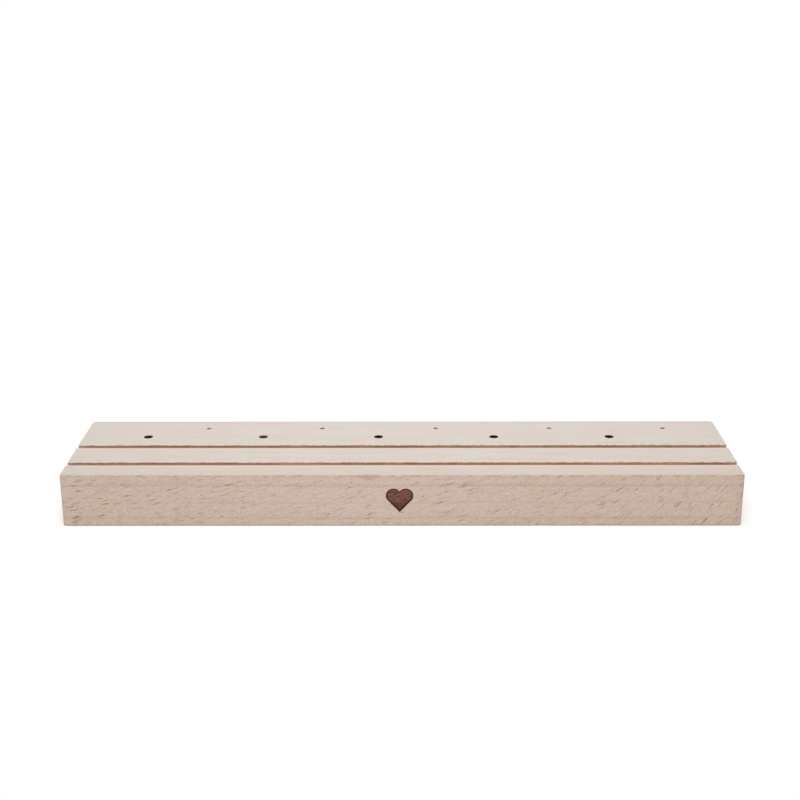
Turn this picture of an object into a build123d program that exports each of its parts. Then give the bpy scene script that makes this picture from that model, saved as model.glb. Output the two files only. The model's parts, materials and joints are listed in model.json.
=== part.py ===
from build123d import *
import os
from math import acos, atan2, degrees, hypot, radians, tan

# A photo block: one bar of solid beech that lies flat on a shelf. Prints and cards stand in
# two saw cuts that run from end to end of its top. Dried stems stand in two staggered rows of
# drilled holes behind the cuts. A small heart is burnt into the front.
# +X runs along the bar, -Y is the front with the heart, +Z is up, and the origin is the
# middle of the underside. Sizes are millimetres.

# Bar, planed square and sanded
block_length = 300.0
block_depth = 70.0
block_height = 24.0
corner_radius = 1.5            # the four upright corners, rounded over by hand
edge_ease = 0.5                # the long and short edges round the top and the underside

# Card slots, two straight saw cuts in the top, open at both ends
slot_width = 3.2               # one saw kerf
slot_depth = 12.0
slot_arris = 0.2               # the cut's upper edges, broken with sandpaper
slot_mouth_radius = 0.8        # the cut's open ends, where its walls are rubbed round
front_slot_setback = 13.9      # front face to the middle of the front cut
rear_slot_setback = 0.5        # middle of the bar to the middle of the rear cut

# Stem holes, drilled from the top and spaced evenly in a zigzag: a thick one, then a thin one
holes_per_row = 5
first_hole_inset = 30.6        # left end to the first thick hole
last_hole_inset = 25.7         # last thin hole to the right end
thick_hole_diameter = 4.0
thick_hole_depth = 12.0        # to the tip of the drill point
thick_row_inset = 21.3         # back face to the row of thick holes
thin_hole_diameter = 2.0
thin_hole_depth = 12.0
thin_row_inset = 9.8           # back face to the row of thin holes
drill_point_angle = 118.0      # twist drills, which leave a shallow cone at the bottom
rim_ease = 0.2                 # the holes' upper edges, broken with sandpaper
arris_slope = 45.0             # every edge broken with sandpaper is a flat at this angle

# Heart, engraved with a laser in the front face: two round lobes and two straight sides
heart_width = 12.1
heart_height = 11.2
lobe_radius = 3.35
heart_shift = -0.9             # middle of the bar to the heart's axis
heart_rise = 0.2               # half height of the bar to the heart's own middle
engraving_depth = 0.5
scorch_thickness = 0.15        # charred skin that the beam leaves on the engraving's floor

# Places on the bar
left_end = -block_length / 2
right_end = block_length / 2
front_face = -block_depth / 2
back_face = block_depth / 2
slot_places = [front_face + front_slot_setback, rear_slot_setback]
slot_mouths = [(end_x, slot_y) for end_x in (left_end, right_end) for slot_y in slot_places]
slot_floor = Plane.XY.offset(block_height - slot_depth)

# The zigzag gives each row twice the step from a hole to the next one
zigzag_steps = 2 * holes_per_row - 1
hole_step = (block_length - first_hole_inset - last_hole_inset) / zigzag_steps
row_pitch = 2 * hole_step
row_half = row_pitch * (holes_per_row - 1) / 2
thick_row = (left_end + first_hole_inset + row_half, back_face - thick_row_inset)
thin_row = (right_end - last_hole_inset - row_half, back_face - thin_row_inset)
hole_rows = [
    (thick_row, thick_hole_diameter / 2, thick_hole_depth),
    (thin_row, thin_hole_diameter / 2, thin_hole_depth),
]

# The heart's outline, drawn about its own middle. Each straight side leaves the point and
# runs on to its lobe as a tangent.
lobe_x = heart_width / 2 - lobe_radius
lobe_y = heart_height / 2 - lobe_radius
point_y = -heart_height / 2
lobe_to_point = hypot(lobe_x, lobe_y - point_y)
notch_angle = degrees(acos(lobe_x / lobe_radius))
point_angle = degrees(atan2(point_y - lobe_y, -lobe_x))
tangent_angle = point_angle + degrees(acos(lobe_radius / lobe_to_point))

heart_centre = (heart_shift, front_face, block_height / 2 + heart_rise)
heart_plane = Plane(origin=heart_centre, x_dir=(1, 0, 0), z_dir=(0, -1, 0))
engraving_floor = heart_plane.offset(-engraving_depth)

with BuildSketch() as heart:
    with BuildLine():
        right_lobe = CenterArc(
            (lobe_x, lobe_y),
            lobe_radius,
            start_angle=tangent_angle,
            arc_size=180 - notch_angle - tangent_angle,
        )
        Line((0, point_y), right_lobe @ 0)
        mirror(about=Plane.YZ)
    make_face()

# Beech block: the bar with its saw cuts, drilled holes and engraving
with BuildPart() as beech_block:
    Box(
        block_length,
        block_depth,
        block_height,
        align=(Align.CENTER, Align.CENTER, Align.MIN),
    )
    fillet(beech_block.edges().filter_by(Axis.Z), radius=corner_radius)
    top_and_underside = beech_block.faces().filter_by(Axis.Z)
    fillet(top_and_underside.edges(), radius=edge_ease)

    with BuildSketch(Plane.YZ):
        with Locations([(slot_y, block_height) for slot_y in slot_places]):
            Rectangle(slot_width, slot_depth, align=(Align.CENTER, Align.MAX))
            Trapezoid(
                slot_width + 2 * slot_arris,
                slot_arris,
                left_side_angle=arris_slope,
                rotation=180,
                align=(Align.CENTER, Align.MIN),
            )
    extrude(amount=block_length / 2, both=True, mode=Mode.SUBTRACT)

    # Each mouth is a strip across the end of the cut, less a round corner beside each wall
    with BuildSketch(slot_floor):
        with Locations(slot_mouths):
            Rectangle(2 * slot_mouth_radius, slot_width + 2 * slot_mouth_radius)
            with GridLocations(2 * slot_mouth_radius, slot_width + 2 * slot_mouth_radius, 2, 2):
                Circle(slot_mouth_radius, mode=Mode.SUBTRACT)
    extrude(amount=slot_depth, mode=Mode.SUBTRACT)

    for (row_x, row_y), hole_radius, tip_depth in hole_rows:
        point_height = hole_radius / tan(radians(drill_point_angle / 2))
        with Locations((row_x, row_y, block_height)):
            with GridLocations(row_pitch, 0, holes_per_row, 1):
                CounterSinkHole(
                    hole_radius,
                    counter_sink_radius=hole_radius + rim_ease,
                    depth=tip_depth - point_height,
                    counter_sink_angle=2 * arris_slope,
                )
        with Locations((row_x, row_y, block_height - tip_depth)):
            with GridLocations(row_pitch, 0, holes_per_row, 1):
                Cone(
                    bottom_radius=0,
                    top_radius=hole_radius,
                    height=point_height,
                    align=(Align.CENTER, Align.CENTER, Align.MIN),
                    mode=Mode.SUBTRACT,
                )

    with BuildSketch(engraving_floor):
        add(heart.sketch)
    extrude(amount=engraving_depth, mode=Mode.SUBTRACT)

# Heart scorch: the thin charred skin on the floor of the engraving
with BuildPart() as heart_scorch:
    with BuildSketch(engraving_floor):
        add(heart.sketch)
    extrude(amount=scorch_thickness)

beech_block.part.label = "beech_block"
heart_scorch.part.label = "heart_scorch"

os.makedirs("parts", exist_ok=True)
export_step(beech_block.part, "parts/beech_block.step")
export_step(heart_scorch.part, "parts/heart_scorch.step")
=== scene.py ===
import json
import math

import bpy
from mathutils import Matrix, Vector, noise


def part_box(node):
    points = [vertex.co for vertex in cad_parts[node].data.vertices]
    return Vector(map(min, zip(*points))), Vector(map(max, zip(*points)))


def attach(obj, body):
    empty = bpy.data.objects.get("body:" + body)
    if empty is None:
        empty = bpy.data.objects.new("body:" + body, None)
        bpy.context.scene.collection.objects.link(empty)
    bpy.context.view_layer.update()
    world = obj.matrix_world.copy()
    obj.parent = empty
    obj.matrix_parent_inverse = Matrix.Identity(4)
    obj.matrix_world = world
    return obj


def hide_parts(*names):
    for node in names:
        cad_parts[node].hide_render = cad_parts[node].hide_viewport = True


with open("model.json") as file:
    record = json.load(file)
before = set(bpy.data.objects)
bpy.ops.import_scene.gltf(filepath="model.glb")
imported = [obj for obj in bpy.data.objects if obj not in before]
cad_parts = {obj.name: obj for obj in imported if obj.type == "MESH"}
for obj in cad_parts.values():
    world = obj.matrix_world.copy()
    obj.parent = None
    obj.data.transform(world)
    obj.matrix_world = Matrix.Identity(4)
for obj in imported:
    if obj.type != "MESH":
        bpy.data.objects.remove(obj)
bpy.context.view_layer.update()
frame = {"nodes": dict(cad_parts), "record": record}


# Beech bar
# The holder is one bar of European beech, sawn out of a plank, planed square and sanded on
# every face, with its edges eased by hand. It has no oil or lacquer on it.
bar = frame["nodes"]["beech_block"]
bar_low, bar_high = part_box("beech_block")
MM = 0.001


def linear(colour):
    """An sRGB hex colour, such as "c8b4a4", as linear red, green and blue, with alpha 1."""
    srgb = [int(colour[i:i + 2], 16) / 255 for i in (0, 2, 4)]
    return [c / 12.92 if c <= 0.04045 else ((c + 0.055) / 1.055) ** 2.4 for c in srgb] + [1.0]


def add(tree, kind, inputs=None, **settings):
    """Adds a shader node. Each input, by name or number, is a value, a socket or a node."""
    node = tree.nodes.new("ShaderNode" + kind)
    for name, value in settings.items():
        setattr(node, name, value)
    for name, value in (inputs or {}).items():
        if isinstance(value, bpy.types.ShaderNode):
            value = next(output for output in value.outputs if output.enabled)
        if isinstance(value, bpy.types.NodeSocket):
            tree.links.new(value, node.inputs[name])
        else:
            node.inputs[name].default_value = value
    return node


def wood_finish(name, colour, roughness, gloss=0.5):
    """Bare wood of one colour, on which its marks are then laid."""
    finish = bpy.data.materials.new(name)
    finish.use_nodes = True
    surface = finish.node_tree.nodes["Principled BSDF"].inputs
    surface["Base Color"].default_value = linear(colour)
    surface["Roughness"].default_value = roughness
    surface["IOR"].default_value = 1.5
    surface["Specular IOR Level"].default_value = gloss
    return finish


def lay(tree, colour, mask, *limits):
    """Lays a colour over what the wood shows so far, where the mask and every limit are 1."""
    for limit in limits:
        mask = add(tree, "Math", {0: mask, 1: limit}, operation="MULTIPLY")
    base = tree.nodes["Principled BSDF"].inputs["Base Color"]
    below = base.links[0].from_socket if base.links else base.default_value
    mixed = add(tree, "Mix", {0: mask, 6: below, 7: linear(colour)}, data_type="RGBA")
    tree.links.new(mixed.outputs["Result"], base)


def mottle(tree, place, size, low, high, detail=2.0):
    """Soft marks, so many mm in size along each axis: 0 where a noise is low, 1 where high."""
    stretched = add(
        tree, "VectorMath", {0: place, 1: [1 / s for s in size]}, operation="MULTIPLY")
    cloud = add(tree, "TexNoise", {"Vector": stretched, "Scale": 1.0, "Detail": detail})
    return add(tree, "MapRange", {"Value": cloud, "From Min": low, "From Max": high})


def place_on_bar(tree):
    """A point's place on the bar in mm."""
    metres = add(tree, "TexCoord").outputs["Object"]
    return add(tree, "VectorMath", {0: metres, "Scale": 1 / MM}, operation="SCALE")


# On the bar's ends the rings stand this steeply, which gives the way round the pith
RING_TILT = math.radians(67)
ROUND_THE_PITH = (0.0, -math.cos(RING_TILT), math.sin(RING_TILT))


def place_in_log(tree, place):
    """A point's place in the log in mm: along the grain, round the pith and out from it."""
    # The plank was cut well out from the pith, which lay behind and above the bar
    pith = (0.0, 204.4, 113.8)
    # The grain climbs to the right, a little more steeply all the way, and swings up at the end
    middle_slope = 0.287
    slope_growth = 0.000335
    added_slope = 0.75
    swing_place = 112.0
    swing_length = 10.0
    along = add(tree, "SeparateXYZ", {0: place}).outputs["X"]
    swing = add(tree, "Math", {0: along, 1: swing_place}, operation="SUBTRACT")
    swing = add(tree, "Math", {0: swing, 1: swing_length}, operation="DIVIDE")
    swing = add(tree, "Math", {0: swing}, operation="EXPONENT")
    swing = add(tree, "Math", {0: swing, 1: 1.0}, operation="ADD")
    swing = add(tree, "Math", {0: swing, 1: math.e}, operation="LOGARITHM")
    swing = add(tree, "Math", {0: swing, 1: added_slope * swing_length}, operation="MULTIPLY")
    slope = add(
        tree, "Math", {0: along, 1: slope_growth, 2: middle_slope}, operation="MULTIPLY_ADD")
    climb = add(tree, "Math", {0: along, 1: slope, 2: swing}, operation="MULTIPLY_ADD")
    around = add(tree, "VectorMath", {0: place, 1: ROUND_THE_PITH}, operation="DOT_PRODUCT")
    level = add(tree, "Math", {0: around, 1: climb}, operation="SUBTRACT")
    outward = add(tree, "VectorMath", {0: place, 1: pith}, operation="SUBTRACT")
    outward = add(tree, "VectorMath", {0: outward, 1: (0, 1, 1)}, operation="MULTIPLY")
    radius = add(tree, "VectorMath", {0: outward}, operation="LENGTH")
    return add(tree, "CombineXYZ", {0: along, 1: level, 2: radius})


def late_wood(tree, place, grain):
    """Where each yearly ring ends: it darkens slowly outwards, then stops at a sharp line."""
    ring_width = 3.0
    ring_wander = 0.6
    wander_size = (80, 25, 25)
    late_start, late_full = 0.7, 0.96
    stop_start, stop_end = 0.97, 1.0
    wander = mottle(tree, place, wander_size, low=0.0, high=1.0)
    radius = add(tree, "SeparateXYZ", {0: grain}).outputs["Z"]
    bent = add(tree, "Math", {0: wander, 1: ring_wander, 2: radius}, operation="MULTIPLY_ADD")
    years = add(tree, "Math", {0: bent, 1: ring_width}, operation="DIVIDE")
    ring = add(tree, "Math", {0: years}, operation="FRACT")
    darker = add(
        tree, "MapRange", {"Value": ring, "From Min": late_start, "From Max": late_full},
        interpolation_type="SMOOTHSTEP")
    stop = add(tree, "MapRange", {"Value": ring, "From Min": stop_end, "From Max": stop_start})
    late = add(tree, "Math", {0: darker, 1: stop}, operation="MULTIPLY")
    # Poor, fair and good years took turns, so the lines are faint, middling and strong in turn
    years_in_turn = 3
    poor_year = 0.45
    year = add(tree, "Math", {0: years}, operation="CEIL")
    year = add(tree, "Math", {0: year, 1: years_in_turn}, operation="FLOORED_MODULO")
    vigour = add(
        tree, "MapRange", {"Value": year, "From Max": years_in_turn - 1, "To Min": poor_year})
    late = add(tree, "Math", {0: late, 1: vigour}, operation="MULTIPLY")
    # The lines are a little stronger towards the right, and uneven in strength all along
    weak_until, strong_from = -40.0, 120.0
    weak, strong = 0.85, 1.05
    patch_size = (16, 6, 6)
    along = add(tree, "SeparateXYZ", {0: grain}).outputs["X"]
    stronger = add(
        tree, "MapRange",
        {"Value": along, "From Min": weak_until, "From Max": strong_from,
         "To Min": weak, "To Max": strong})
    late = add(tree, "Math", {0: late, 1: stronger}, operation="MULTIPLY")
    patchy = mottle(tree, place, patch_size, low=0.1, high=0.55)
    return add(tree, "Math", {0: late, 1: patchy}, operation="MULTIPLY")


def ray_flecks(tree, place, grain, spacing_along, spacing_across):
    """The cut ends of the rays: dark spindles along the climbing grain, bold and faint."""
    # They sway, and their edges are ragged
    sway, sway_size = 1.8, (9, 6, 6)
    raggedness, rag_size = 1.3, (1.4, 1.4, 1.4)
    sways = mottle(tree, place, sway_size, low=0.0, high=1.0)
    rags = mottle(tree, place, rag_size, low=0.0, high=1.0)
    shift = add(tree, "Math", {0: sways, 1: sway}, operation="MULTIPLY")
    shift = add(tree, "Math", {0: rags, 1: raggedness, 2: shift}, operation="MULTIPLY_ADD")
    # Where the grain climbs steeply, the rays are cut shorter
    shortening = 0.8
    level = add(tree, "SeparateXYZ", {0: grain}).outputs["Y"]
    around = add(tree, "VectorMath", {0: place, 1: ROUND_THE_PITH}, operation="DOT_PRODUCT")
    climb = add(tree, "Math", {0: around, 1: level}, operation="SUBTRACT")
    extra = add(tree, "Math", {0: climb, 1: shortening}, operation="MULTIPLY")
    bend = add(tree, "CombineXYZ", {0: extra, 1: shift})
    bent = add(tree, "VectorMath", {0: grain, 1: bend}, operation="ADD")
    # Each ray has a cell to itself, and some are small and some are faint
    pointedness = 1.4
    smallest, largest = 1.8, 0.88
    fleck_edge, fleck_core = 0.27, 0.13
    unseen, boldest = 0.08, 0.62
    per_mm = (1 / spacing_along, 1 / spacing_across, 1.0)
    cell = add(tree, "VectorMath", {0: bent, 1: per_mm}, operation="MULTIPLY")
    rays = add(
        tree, "TexVoronoi", {"Vector": cell, "Scale": 1.0, "Exponent": pointedness},
        voronoi_dimensions="2D", distance="MINKOWSKI")
    chance = add(tree, "SeparateXYZ", {0: rays.outputs["Color"]}).outputs
    smallness = add(
        tree, "MapRange", {"Value": chance["Y"], "To Min": smallest, "To Max": largest})
    distance = add(tree, "Math", {0: rays, 1: smallness}, operation="MULTIPLY")
    core = add(
        tree, "MapRange", {"Value": distance, "From Min": fleck_edge, "From Max": fleck_core})
    strength = add(
        tree, "MapRange", {"Value": chance["X"], "From Min": unseen, "From Max": boldest})
    # They are blotchy
    blotch_size, palest_blotch = (1.2, 0.8, 0.8), 0.55
    blotch = mottle(tree, place, blotch_size, low=0.36, high=0.6)
    blotch = add(tree, "MapRange", {"Value": blotch, "To Min": palest_blotch})
    core = add(tree, "Math", {0: core, 1: blotch}, operation="MULTIPLY")
    flecks = add(tree, "Math", {0: core, 1: strength}, operation="MULTIPLY")
    # They are finest near the middle of the bar and boldest near its ends
    finest_at, finest = -20.0, 0.75
    fine_within, bold_beyond = 20.0, 130.0
    aside = add(tree, "SeparateXYZ", {0: place}).outputs["X"]
    aside = add(tree, "Math", {0: aside, 1: finest_at}, operation="SUBTRACT")
    aside = add(tree, "Math", {0: aside}, operation="ABSOLUTE")
    bold = add(
        tree, "MapRange",
        {"Value": aside, "From Min": fine_within, "From Max": bold_beyond, "To Min": finest})
    flecks = add(tree, "Math", {0: flecks, 1: bold}, operation="MULTIPLY")
    # They line up in chains along the grain
    chain_size, between_chains = (45, 2.2, 60), 0.4
    chain = mottle(tree, grain, chain_size, low=0.36, high=0.6)
    chain = add(tree, "MapRange", {"Value": chain, "To Min": between_chains})
    return add(tree, "Math", {0: flecks, 1: chain}, operation="MULTIPLY")


# Beech, planed and sanded: matt and pale tan with pink patches. The front and back are freckled
# with ray flecks, the top and underside are paler and plainer, and the ends are darker.
dull, polished = 0.62, 0.5
beech = wood_finish("beech_sanded", "ccbaab", roughness=dull)
tree = beech.node_tree
place = place_on_bar(tree)
grain = place_in_log(tree, place)
along, across, height = add(tree, "SeparateXYZ", {0: place}).outputs
late = late_wood(tree, place, grain)
flecks = ray_flecks(tree, place, grain, spacing_along=13.0, spacing_across=1.3)
faint_flecks = ray_flecks(tree, place, grain, spacing_along=14.0, spacing_across=1.3)
# Where the grain swings up at the right, the rays are cut thicker
thick_flecks = ray_flecks(tree, place, grain, spacing_along=12.5, spacing_across=1.9)
thin_until, thick_from = 70.0, 95.0
steep = add(tree, "MapRange", {"Value": along, "From Min": thin_until, "From Max": thick_from})
flecks = add(tree, "Mix", {0: steep, 2: flecks, 3: thick_flecks})

pink = mottle(tree, place, (14, 9, 3.5), low=0.4, high=0.64)
tan = mottle(tree, place, (19, 11, 5), low=0.45, high=0.62)
blush = mottle(tree, grain, (6, 1.3, 5), low=0.47, high=0.68)
streaks = mottle(tree, place, (22, 9, 1.0), low=0.45, high=0.7)
dashes = mottle(tree, grain, (1.5, 0.5, 5), low=0.5, high=0.72)
# Pores a tenth of a millimetre wide are too fine to show, so they are drawn as coarser speckle
dark_pores = mottle(tree, place, (0.55, 0.5, 0.5), low=0.5, high=0.75)
pale_fibres = mottle(tree, place, (0.9, 0.6, 0.6), low=0.5, high=0.75)
# The lowest strip is pinker, and a stretch left of the middle is paler
foot_top, foot_full = 5.5, 3.5
foot = add(tree, "MapRange", {"Value": height, "From Min": foot_top, "From Max": foot_full})
stretch_middle, stretch_end, stretch_full = -25.0, 75.0, 20.0
stretch = add(tree, "Math", {0: along, 1: stretch_middle}, operation="SUBTRACT")
stretch = add(tree, "Math", {0: stretch}, operation="ABSOLUTE")
stretch = add(
    tree, "MapRange", {"Value": stretch, "From Min": stretch_end, "From Max": stretch_full})
lay(tree, "c9b89f", tan, 0.5)
lay(tree, "d2b7ae", pink, 0.36)
lay(tree, "d4afa4", blush, 0.47)
lay(tree, "d2b3a6", foot, 0.28)
lay(tree, "d5c4b8", stretch, 0.28)
lay(tree, "b79f8e", streaks, 0.2)
lay(tree, "dfd0c1", pale_fibres, 0.68)
lay(tree, "ab9281", dark_pores, 0.4)
lay(tree, "a98d7d", dashes, 0.38)
lay(tree, "b28e7f", late, 0.42)
lay(tree, "9a7a6a", faint_flecks, 0.7)
lay(tree, "7d5d50", flecks, 0.9)

# The top and underside are pale, partly as a plainer face of the wood and partly as painted sheen,
# with pink, tan and streaky patches. They are warmer and darker towards the front, partly as
# painted shade, and plainer towards the back, where a grey line of painted shade runs along the
# edge.
facing = add(tree, "SeparateXYZ", {0: add(tree, "TexCoord").outputs["Normal"]}).outputs
tilted, level = 0.85, 1.0
up = facing["Z"]
flat = add(tree, "Math", {0: up}, operation="ABSOLUTE")
flat = add(tree, "MapRange", {"Value": flat, "From Min": tilted, "From Max": level})
edge_start, edge_end = 0.2, 1.4
inset = add(tree, "Math", {0: across}, operation="ABSOLUTE")
inset = add(tree, "Math", {0: bar_high.y / MM, 1: inset}, operation="SUBTRACT")
inside = add(tree, "MapRange", {"Value": inset, "From Min": edge_start, "From Max": edge_end})
flat = add(tree, "Math", {0: flat, 1: inside}, operation="MULTIPLY")
top_pink = mottle(tree, place, (19, 9, 7), low=0.42, high=0.6)
top_tan = mottle(tree, place, (15, 7, 9), low=0.45, high=0.62)
top_streaks = mottle(tree, place, (24, 2.4, 5), low=0.42, high=0.7)
top_speckle = mottle(tree, place, (1.2, 2.0, 2.0), low=0.45, high=0.75)
front_shade_start, front_shade_full = -10.0, -34.0
front_warmth_and_shade = add(tree, "MapRange", {"Value": across, "From Min": front_shade_start, "From Max": front_shade_full})
plain_at, lively_at, plain_share = 20.0, -6.0, 0.4
lively = add(
    tree, "MapRange",
    {"Value": across, "From Min": plain_at, "From Max": lively_at, "To Min": plain_share})
back_shade_start, back_shade_full = 33.0, 34.2
back_edge_painted_shade = add(tree, "MapRange", {"Value": across, "From Min": back_shade_start, "From Max": back_shade_full})
# Painted sheen: the pale colour laid on the top and underside is partly the wood's own and partly
# painted sheen
lay(tree, "e0d9d0", flat)
lay(tree, "e2d3cc", top_pink, flat)
lay(tree, "dcd6c9", top_tan, flat, 0.6)
# Painted shade: the top is laid darker and warmer towards the front
lay(tree, "d9c7bb", front_warmth_and_shade, flat, 0.6)
lay(tree, "d3c3b6", top_streaks, lively, flat, 0.45)
lay(tree, "d2c3b8", late, flat, 0.25)
lay(tree, "c9bbae", top_speckle, lively, flat, 0.35)
# Painted shade: a grey line along the back edge of the top
lay(tree, "b9aea8", back_edge_painted_shade, flat, 0.5)

# The ends are cut across the fibres, which are open there and darker, with pale rays between
side_on, end_on = 0.6, 0.95
end = add(tree, "Math", {0: facing["X"]}, operation="ABSOLUTE")
end = add(tree, "MapRange", {"Value": end, "From Min": side_on, "From Max": end_on})
end_rays = mottle(tree, grain, (60, 0.5, 16), low=0.45, high=0.7)
lay(tree, "bca28e", end)
lay(tree, "cbb39f", end_rays, end, 0.7)
lay(tree, "967763", late, end, 0.6)
lay(tree, "8d6f5c", dark_pores, end, 0.5)

# The eased edges are darkened with painted shade, the lower ones evenly and the upper ones in
# patches, and a yellowish strip runs along the front's upper one
strip_end, strip_full = 3.0, 0.8
behind_front = add(tree, "Math", {0: across, 1: bar_low.y / MM}, operation="SUBTRACT")
below_top = add(tree, "Math", {0: bar_high.z / MM, 1: height}, operation="SUBTRACT")
from_edge = add(tree, "Math", {0: behind_front, 1: below_top}, operation="MAXIMUM")
strip = add(
    tree, "MapRange", {"Value": from_edge, "From Min": strip_end, "From Max": strip_full})
upright = add(tree, "Math", {0: 1.0, 1: flat}, operation="SUBTRACT")
under_start, under_full = -0.05, -0.5
upper_start, upper_full = 0.0, 0.15
crest_start, crest_full = 0.5, 0.85
under_edge_painted_shade = add(tree, "MapRange", {"Value": up, "From Min": under_start, "From Max": under_full})
upper_edge = add(tree, "MapRange", {"Value": up, "From Min": upper_start, "From Max": upper_full})
below_crest = add(tree, "MapRange", {"Value": up, "From Min": crest_full, "From Max": crest_start})
edge_shade_patches = mottle(tree, place, (6, 6, 6), low=0.35, high=0.62, detail=5.0)
edge_marks = mottle(tree, place, (4.5, 40, 40), low=0.5, high=0.62)
lay(tree, "c4aa8c", strip, 0.15)
# Painted shade: the lower eased edges are laid darker
lay(tree, "8d7666", under_edge_painted_shade, upright)
# Painted shade: the upper eased edges are laid darker in patches
lay(tree, "b39a88", upper_edge, below_crest, upright, edge_shade_patches, 0.25)
lay(tree, "82655a", flecks, upper_edge, below_crest, upright, 0.6)
lay(tree, "8c6d55", edge_marks, upper_edge, below_crest, upright, 0.68)

# A reddish mark of sap hangs from the front's upper edge and leans to one side
sap_middle = (-13.4, bar_low.y / MM, bar_high.z / MM)
sap_size = (5.2, 1.0, 2.0)
sap_lean = (-1.0, 0.0, 0.0)
sap_end, sap_full = 1.0, 0.85
sap = add(tree, "VectorMath", {0: place, 1: sap_middle}, operation="SUBTRACT")
sap_drop = add(tree, "SeparateXYZ", {0: sap}).outputs["Z"]
sap_shift = add(tree, "VectorMath", {0: sap_lean, "Scale": sap_drop}, operation="SCALE")
sap = add(tree, "VectorMath", {0: sap, 1: sap_shift}, operation="ADD")
sap = add(tree, "VectorMath", {0: sap, 1: sap_size}, operation="DIVIDE")
sap = add(tree, "VectorMath", {0: sap}, operation="LENGTH")
sap = add(tree, "MapRange", {"Value": sap, "From Min": sap_end, "From Max": sap_full})
lay(tree, "bd9d8c", sap, 0.85)

# The rays are hard and take a little polish, and they and the dashes of grain lie hollow
hollow_depth = 0.04 * MM
wood = tree.nodes["Principled BSDF"]
polish = add(tree, "MapRange", {"Value": flecks, "To Min": dull, "To Max": polished})
tree.links.new(polish.outputs["Result"], wood.inputs["Roughness"])
hollows = add(tree, "Math", {0: dashes, 1: flecks}, operation="ADD")
fibres = add(tree, "Bump", {"Height": hollows, "Distance": hollow_depth}, invert=True)
tree.links.new(fibres.outputs["Normal"], wood.inputs["Normal"])
bar.data.materials.clear()
bar.data.materials.append(beech)


# Card slots
# Two saw cuts along the top, open at both ends, in which prints and cards stand. The blade
# rubbed hot, so their walls are browner than the sanded faces, and so is a line behind each.
slots = [m for m in frame["record"]["mounts"] if m["kind"] == "slide"]
slot_half_width = 1.6 * MM
slot_arris = 0.2 * MM
# A slot's mount lies half way down it
slot_floor = min(slot["pos_m"][2] for slot in slots) * 2 - bar_high.z

# On the sanded top, both lips of a cut are painted warm and pale as a highlight, and the scorch
# creeps over the rear one, unevenly and by a millimetre or so at most
highlight_end, highlight_full = 2.0, 1.0
creep_reach, creep_blur = 1.2, 0.2
creep = mottle(tree, place, (2, 40, 40), low=0.4, high=0.72, detail=5.0)
top_start, top_full = 0.5, 0.65
on_top = add(tree, "MapRange", {"Value": up, "From Min": top_start, "From Max": top_full})
for slot in slots:
    slot_middle = slot["pos_m"][1]
    beside = add(tree, "Math", {0: across, 1: slot_middle / MM}, operation="SUBTRACT")
    beside = add(tree, "Math", {0: beside}, operation="ABSOLUTE")
    beside = add(tree, "Math", {0: beside, 1: slot_half_width / MM}, operation="SUBTRACT")
    lip_highlight = add(tree, "MapRange", {"Value": beside, "From Min": highlight_end, "From Max": highlight_full})
    # Painted highlight: the pale lips beside each cut
    lay(tree, "ecd5c6", lip_highlight, flat, on_top, 0.8)
    rear_edge = (slot_middle + slot_half_width) / MM
    behind = add(tree, "Math", {0: across, 1: rear_edge}, operation="SUBTRACT")
    crept = add(tree, "Math", {0: behind, 1: creep_reach}, operation="DIVIDE")
    crept = add(tree, "Math", {0: creep, 1: crept}, operation="SUBTRACT")
    crept = add(tree, "MapRange", {"Value": crept, "From Min": 0.0, "From Max": creep_blur})
    past = add(tree, "Math", {0: behind, 1: 0.0}, operation="GREATER_THAN")
    lay(tree, "a3826f", crept, past, on_top, 0.8)

# Beech, sawn and scorched: rough and reddish brown in uneven spots and stretches, darker in the
# rear cut, and laid paler a millimetre down as painted light against the shade deeper in the cut
scorched = wood_finish("beech_sawn_and_scorched", "cfae98", roughness=0.75)
tree = scorched.node_tree
place = place_on_bar(tree)
spot = add(tree, "SeparateXYZ", {0: place}).outputs
front_cut, rear_cut = -15.0, -5.0
rear = add(tree, "MapRange", {"Value": spot["Y"], "From Min": front_cut, "From Max": rear_cut})
painted_light_start, painted_light_full = 0.6, 1.2
below_top = add(tree, "Math", {0: bar_high.z / MM, 1: spot["Z"]}, operation="SUBTRACT")
painted_light_deeper = add(
    tree, "MapRange", {"Value": below_top, "From Min": painted_light_start, "From Max": painted_light_full})
lay(tree, "b08f77", mottle(tree, place, (22, 4, 4), low=0.35, high=0.62))
lay(tree, "987760", mottle(tree, place, (3.5, 2, 2), low=0.48, high=0.7), 0.7)
lay(tree, "7d5c48", mottle(tree, place, (1.1, 3, 3), low=0.5, high=0.72), 0.35)
lay(tree, "86614e", rear, 0.2)
# Painted light: the walls are laid paler a millimetre or more below the top
lay(tree, "d8b9a6", painted_light_deeper, 0.7)
bar.data.materials.append(scorched)
for face in bar.data.polygons:
    off_middle = min(abs(face.center.y - slot["pos_m"][1]) for slot in slots)
    in_a_slot = off_middle < slot_half_width + slot_arris / 4
    below_rim = slot_floor - slot_arris < face.center.z < bar_high.z - slot_arris / 4
    faces_the_end = abs(face.normal.x) >= 0.5
    if in_a_slot and below_rim and not faces_the_end:
        face.material_index = len(bar.data.materials) - 1


# Stem holes
# Two rows of holes drilled from the top for dried stems, thick ones in front and thin ones
# behind. The thick drill ran hot and burnt its holes nearly black, the thin one browned them.
stem_holes = [m for m in frame["record"]["mounts"] if m["kind"] == "bore"]
thick_radius = 2.0
thick_holes = [m for m in stem_holes if m["dims"]["r_mm"] == thick_radius]
thin_holes = [m for m in stem_holes if m["dims"]["r_mm"] != thick_radius]
cool_hole = next(m for m in stem_holes if m["name"] == "thick_stem_hole_second")
cool_end, cool_full = 10.0, 5.0
rim_ease = 0.2 * MM
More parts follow.
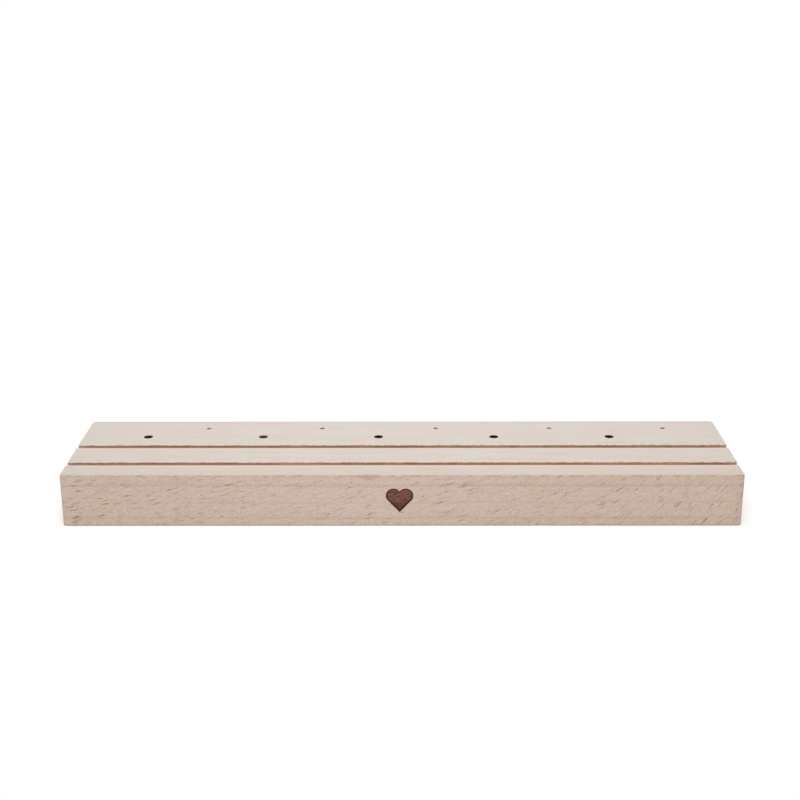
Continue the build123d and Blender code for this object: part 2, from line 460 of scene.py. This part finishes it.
# The drills went as deep as the saw
hole_tip = slot_floor
for name, holes, brown, black in (
        ("beech_drilled_and_burnt", thick_holes, "4a2a1f", "20100a"),
        ("beech_drilled", thin_holes, "baa293", "9e8577")):
    # Beech, drilled across its fibres: rough, without gloss, and browned or burnt in patches
    drilled = wood_finish(name, brown, roughness=0.85, gloss=0.1)
    tree = drilled.node_tree
    place = place_on_bar(tree)
    lay(tree, black, mottle(tree, place, (1.2, 1.2, 1.2), low=0.35, high=0.6))
    # The second thick hole was drilled more coolly and is only browned
    aside = add(tree, "SeparateXYZ", {0: place}).outputs["X"]
    aside = add(tree, "Math", {0: aside, 1: cool_hole["pos_m"][0] / MM}, operation="SUBTRACT")
    aside = add(tree, "Math", {0: aside}, operation="ABSOLUTE")
    cool = add(tree, "MapRange", {"Value": aside, "From Min": cool_end, "From Max": cool_full})
    lay(tree, "72524a", cool, 0.9)
    bar.data.materials.append(drilled)
    for hole in holes:
        axis = Vector(hole["pos_m"][:2])
        rim_radius = hole["dims"]["r_mm"] * MM + rim_ease / 2
        for face in bar.data.polygons:
            in_the_hole = (face.center.xy - axis).length < rim_radius
            below_rim = hole_tip - rim_ease < face.center.z < bar_high.z - rim_ease / 4
            if in_the_hole and below_rim:
                face.material_index = len(bar.data.materials) - 1


# Heart
# A heart engraved in the front with a laser. The beam burns away half a millimetre of wood,
# leaves the floor reddish brown, and chars a nearly black line where it follows the outline.
skin_low, skin_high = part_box("heart_scorch")
lobe_radius = 3.35 * MM
lobe_steps = 60
side_steps = 30
heart_middle = (skin_low.x + skin_high.x) / 2
lobe_x = (skin_high.x - skin_low.x) / 2 - lobe_radius
lobe_z = skin_high.z - lobe_radius
to_point = math.hypot(lobe_x, lobe_z - skin_low.z)
side_angle = math.atan2(skin_low.z - lobe_z, -lobe_x) + math.acos(lobe_radius / to_point)
notch_angle = math.acos(-lobe_x / lobe_radius)
half = []
for i in range(lobe_steps + 1):
    angle = notch_angle + (side_angle - notch_angle) * i / lobe_steps
    half.append((lobe_x + lobe_radius * math.cos(angle), lobe_z + lobe_radius * math.sin(angle)))
side_x, side_z = half[-1]
for i in range(1, side_steps + 1):
    share = i / side_steps
    half.append((side_x * (1 - share), side_z + (skin_low.z - side_z) * share))
outline = half + [(-x, z) for x, z in reversed(half[1:-1])]

# The floor is drawn as rings that shrink from the outline to the middle and are closest beside
# the outline. It is deepest in a trough there, and ridged by the harder fibres.
rings = 24
ring_crowding = 0.6
centre_rise = 1.2 * MM
trough_width = 0.55 * MM
trough_depth = 0.06 * MM
floor_depth = 0.03 * MM
ridge_height = 0.02 * MM
deepest = 0.12 * MM
fibre_length = 2.5 * MM
fibre_width = 0.35 * MM
fibre_layer = 3.0
heart_centre = (skin_low.z + lobe_z) / 2 + centre_rise
spots = []
for k in range(rings):
    scale = (1 - k / rings) ** ring_crowding
    for x, z in outline:
        spots.append((x * scale, heart_centre + (z - heart_centre) * scale))
spots.append((0.0, heart_centre))
edge_gaps = []
for x, z in spots:
    edge_gaps.append(min(math.hypot(x - a, z - b) for a, b in outline))
points = []
for (x, z), gap in zip(spots, edge_gaps):
    fibre = noise.noise(Vector((x / fibre_length, z / fibre_width, fibre_layer)))
    trough = max(0.0, 1 - gap / trough_width)
    sunk = floor_depth + ridge_height * fibre + trough_depth * trough
    points.append((heart_middle + x, skin_low.y + min(max(sunk, 0.0), deepest), z))
count = len(outline)
faces = []
for k in range(rings - 1):
    for i in range(count):
        j = (i + 1) % count
        faces.append((k * count + i, k * count + j, (k + 1) * count + j, (k + 1) * count + i))
last = (rings - 1) * count
for i in range(count):
    faces.append((last + i, last + (i + 1) % count, rings * count))

# Behind the floor, the skin has an upright rim and a flat back
back = len(points)
points += [(heart_middle + x, skin_high.y, z) for x, z in outline]
edge_gaps += [0.0] * count
for i in range(count):
    j = (i + 1) % count
    faces.append((j, i, back + i, back + j))
faces.append(tuple(back + i for i in range(count)))
heart_mesh = bpy.data.meshes.new("engraved_heart")
heart_mesh.from_pydata(points, [], faces)
heart_mesh.validate()
gap_layer = heart_mesh.attributes.new("from_outline_mm", "FLOAT", "POINT")
gap_layer.data.foreach_set("value", [gap / MM for gap in edge_gaps])
heart = bpy.data.objects.new("engraved_heart", heart_mesh)
bpy.context.scene.collection.objects.link(heart)

# Beech, charred by a laser: reddish brown, darker towards the point, with the grain's own marks
# burnt darker still and a nearly black rim
charred = wood_finish("beech_laser_charred", "784e44", roughness=0.8, gloss=0.1)
tree = charred.node_tree
place = place_on_bar(tree)
grain = place_in_log(tree, place)
height = add(tree, "SeparateXYZ", {0: place}).outputs["Z"]
dark_start, dark_full = 11.9, 10.6
point = add(tree, "MapRange", {"Value": height, "From Min": dark_start, "From Max": dark_full})
rim_end, rim_full = 0.72, 0.5
from_outline = add(tree, "Attribute", attribute_name="from_outline_mm").outputs["Fac"]
rim = add(
    tree, "MapRange", {"Value": from_outline, "From Min": rim_end, "From Max": rim_full})
lay(tree, "815a4f", mottle(tree, place, (2.2, 1.6, 1.6), low=0.45, high=0.65))
lay(tree, "4a2620", mottle(tree, grain, (2.6, 0.45, 5), low=0.48, high=0.66), 0.85)
lay(tree, "523324", point, 0.6)
lay(tree, "42261b", rim)
lay(tree, "3b2115", rim, point)
heart_mesh.materials.append(charred)
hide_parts("heart_scorch")
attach(heart, "root")

# The pocket's upright walls in the bar are charred as well
bar.data.materials.append(charred)
pocket_room = 0.05 * MM
for face in bar.data.polygons:
    inside_x = skin_low.x - pocket_room < face.center.x < skin_high.x + pocket_room
    inside_z = skin_low.z - pocket_room < face.center.z < skin_high.z + pocket_room
    inside_y = bar_low.y + pocket_room < face.center.y < skin_high.y + pocket_room
    if inside_x and inside_y and inside_z:
        face.material_index = len(bar.data.materials) - 1


# Table and light
# A wide white table, lit by a bright room and two soft lamps: one in front of the bar and above
# it, and one overhead.
table_reach = 12.0
corners = [(-1, -1), (1, -1), (1, 1), (-1, 1)]
corner_places = [(x * table_reach, y * table_reach, bar_low.z) for x, y in corners]
table_mesh = bpy.data.meshes.new("table")
table_mesh.from_pydata(corner_places, [], [(0, 1, 2, 3)])
table = bpy.data.objects.new("table", table_mesh)
bpy.context.scene.collection.objects.link(table)


def looked_at(tree):
    """1 where the camera looks, straight or by way of gloss or glass, 0 for light on a piece."""
    path = add(tree, "LightPath").outputs
    seen = add(
        tree, "Math", {0: path["Is Camera Ray"], 1: path["Is Glossy Ray"]}, operation="MAXIMUM")
    return add(tree, "Math", {0: seen, 1: path["Is Transmission Ray"]}, operation="MAXIMUM")


# White laminate: close to the bar it shows the bar's shadow, and further off it is plain white
shadow_start, shadow_end = 0.001, 0.03
lift = 0.3
laminate = bpy.data.materials.new("table_white_laminate")
laminate.use_nodes = True
tree = laminate.node_tree
near_bar = tree.nodes["Principled BSDF"]
near_bar.inputs["Base Color"].default_value = linear("fafafa")
near_bar.inputs["Roughness"].default_value = 0.9
near_bar.inputs["Emission Color"].default_value = linear("ffffff")
seen = looked_at(tree)
lifted = add(tree, "Math", {0: seen, 1: lift}, operation="MULTIPLY")
tree.links.new(lifted.outputs["Value"], near_bar.inputs["Emission Strength"])
metres = add(tree, "TexCoord").outputs["Object"]
off_bar = add(tree, "VectorMath", {0: metres}, operation="ABSOLUTE")
off_bar = add(
    tree, "VectorMath", {0: off_bar, 1: (bar_high.x, bar_high.y, 0)}, operation="SUBTRACT")
off_bar = add(tree, "VectorMath", {0: off_bar, 1: (0, 0, 0)}, operation="MAXIMUM")
off_bar = add(tree, "VectorMath", {0: off_bar}, operation="LENGTH")
far = add(
    tree, "MapRange", {"Value": off_bar, "From Min": shadow_start, "From Max": shadow_end},
    interpolation_type="SMOOTHSTEP")
white_share = add(tree, "Math", {0: seen, 1: far}, operation="MULTIPLY")
plain = add(tree, "Emission", {"Color": linear("ffffff"), "Strength": 1.0})
blend = add(tree, "MixShader", {0: white_share, 1: near_bar, 2: plain})
tree.links.new(blend.outputs["Shader"], tree.nodes["Material Output"].inputs["Surface"])
table_mesh.materials.append(laminate)

# The room lights the bar at half strength, and looks white
room_light, room_look = 0.5, 1.0
room = bpy.data.worlds.new("bright_room")
bpy.context.scene.world = room
room.use_nodes = True
tree = room.node_tree
strength = add(
    tree, "MapRange", {"Value": looked_at(tree), "To Min": room_light, "To Max": room_look})
tree.links.new(strength.outputs["Result"], tree.nodes["Background"].inputs["Strength"])
tree.nodes["Background"].inputs["Color"].default_value = linear("ffffff")

for name, lamp_width, lamp_depth, watts, stand in (
        ("front_lamp", 0.4, 0.3, 1.36, Vector((-0.01, -0.5, 0.4))),
        ("overhead_lamp", 0.35, 0.35, 0.76, Vector((-0.01, 0.1, 0.5)))):
    lamp = bpy.data.lights.new(name, "AREA")
    lamp.shape = "RECTANGLE"
    lamp.size = lamp_width
    lamp.size_y = lamp_depth
    lamp.energy = watts
    lamp_object = bpy.data.objects.new(name, lamp)
    bpy.context.scene.collection.objects.link(lamp_object)
    lamp_object.location = stand
    lamp_object.rotation_euler = stand.to_track_quat("Z", "Y").to_euler()


# Camera
# It stands in front of the middle of the bar, six tenths of a metre away, and looks down at it.
camera_data = bpy.data.cameras.new("camera")
camera_data.sensor_width = 36.0
camera_data.lens = 62.034
camera = bpy.data.objects.new("camera", camera_data)
bpy.context.scene.collection.objects.link(camera)
pitch = math.radians(18.8253)
yaw = math.radians(0.38872)
roll = math.radians(0.18098)
camera.location = (3.199 * MM, -594.25 * MM, 249.479 * MM)
turn = Matrix.Rotation(yaw, 3, "Z") @ Matrix.Rotation(math.pi / 2 - pitch, 3, "X")
turn = turn @ Matrix.Rotation(-roll, 3, "Z")
camera.rotation_euler = turn.to_euler()
bpy.context.scene.camera = camera

bpy.context.scene.view_settings.view_transform = "Standard"
